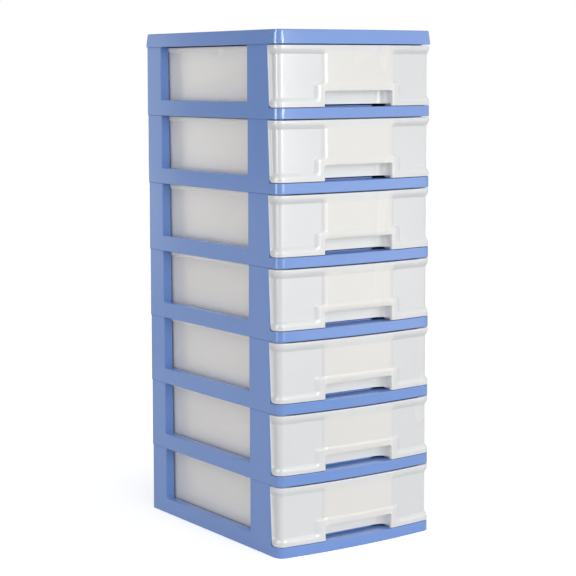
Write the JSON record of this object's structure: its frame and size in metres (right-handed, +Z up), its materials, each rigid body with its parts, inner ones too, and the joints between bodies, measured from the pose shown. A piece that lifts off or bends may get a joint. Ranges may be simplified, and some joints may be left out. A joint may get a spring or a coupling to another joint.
{
  "type": "plastic drawer tower",
  "caption": "Tall narrow tower of push-together plastic frames with a lid; bowed full-width drawers with finger pulls slide out to the front.",
  "frame": {"origin": "centre of the footprint, on the surface that the tower stands on", "axes": "+Z up, the drawers open towards -Y, +X to the right seen from the front"},
  "size_m": [0.2546, 0.3386, 0.6833],
  "materials": {
    "frame_plastic": "moulded sky-blue plastic, soft gloss",
    "drawer_plastic": "moulded milky white plastic, soft gloss"
  },
  "bodies": {
    "root": {"tier_frame_1": "frame_plastic", "tier_frame_2": "frame_plastic", "tier_frame_3": "frame_plastic", "tier_frame_4": "frame_plastic", "tier_frame_5": "frame_plastic", "tier_frame_6": "frame_plastic", "tier_frame_7": "frame_plastic", "top_lid": "frame_plastic"},
    "drawer_1": {"drawer_1": "drawer_plastic"},
    "drawer_2": {"drawer_2": "drawer_plastic"},
    "drawer_3": {"drawer_3": "drawer_plastic"},
    "drawer_4": {"drawer_4": "drawer_plastic"},
    "drawer_5": {"drawer_5": "drawer_plastic"},
    "drawer_6": {"drawer_6": "drawer_plastic"},
    "drawer_7": {"drawer_7": "drawer_plastic"}
  },
  "joints": [
    {"name": "drawer_1_slide", "type": "slide", "parent": "root", "child": "drawer_1", "axis": [0, -1, 0], "range_m": [0, 0.235]},
    {"name": "drawer_2_slide", "type": "slide", "parent": "root", "child": "drawer_2", "axis": [0, -1, 0], "range_m": [0, 0.235]},
    {"name": "drawer_3_slide", "type": "slide", "parent": "root", "child": "drawer_3", "axis": [0, -1, 0], "range_m": [0, 0.235]},
    {"name": "drawer_4_slide", "type": "slide", "parent": "root", "child": "drawer_4", "axis": [0, -1, 0], "range_m": [0, 0.235]},
    {"name": "drawer_5_slide", "type": "slide", "parent": "root", "child": "drawer_5", "axis": [0, -1, 0], "range_m": [0, 0.235]},
    {"name": "drawer_6_slide", "type": "slide", "parent": "root", "child": "drawer_6", "axis": [0, -1, 0], "range_m": [0, 0.235]},
    {"name": "drawer_7_slide", "type": "slide", "parent": "root", "child": "drawer_7", "axis": [0, -1, 0], "range_m": [0, 0.235]}
  ]
}
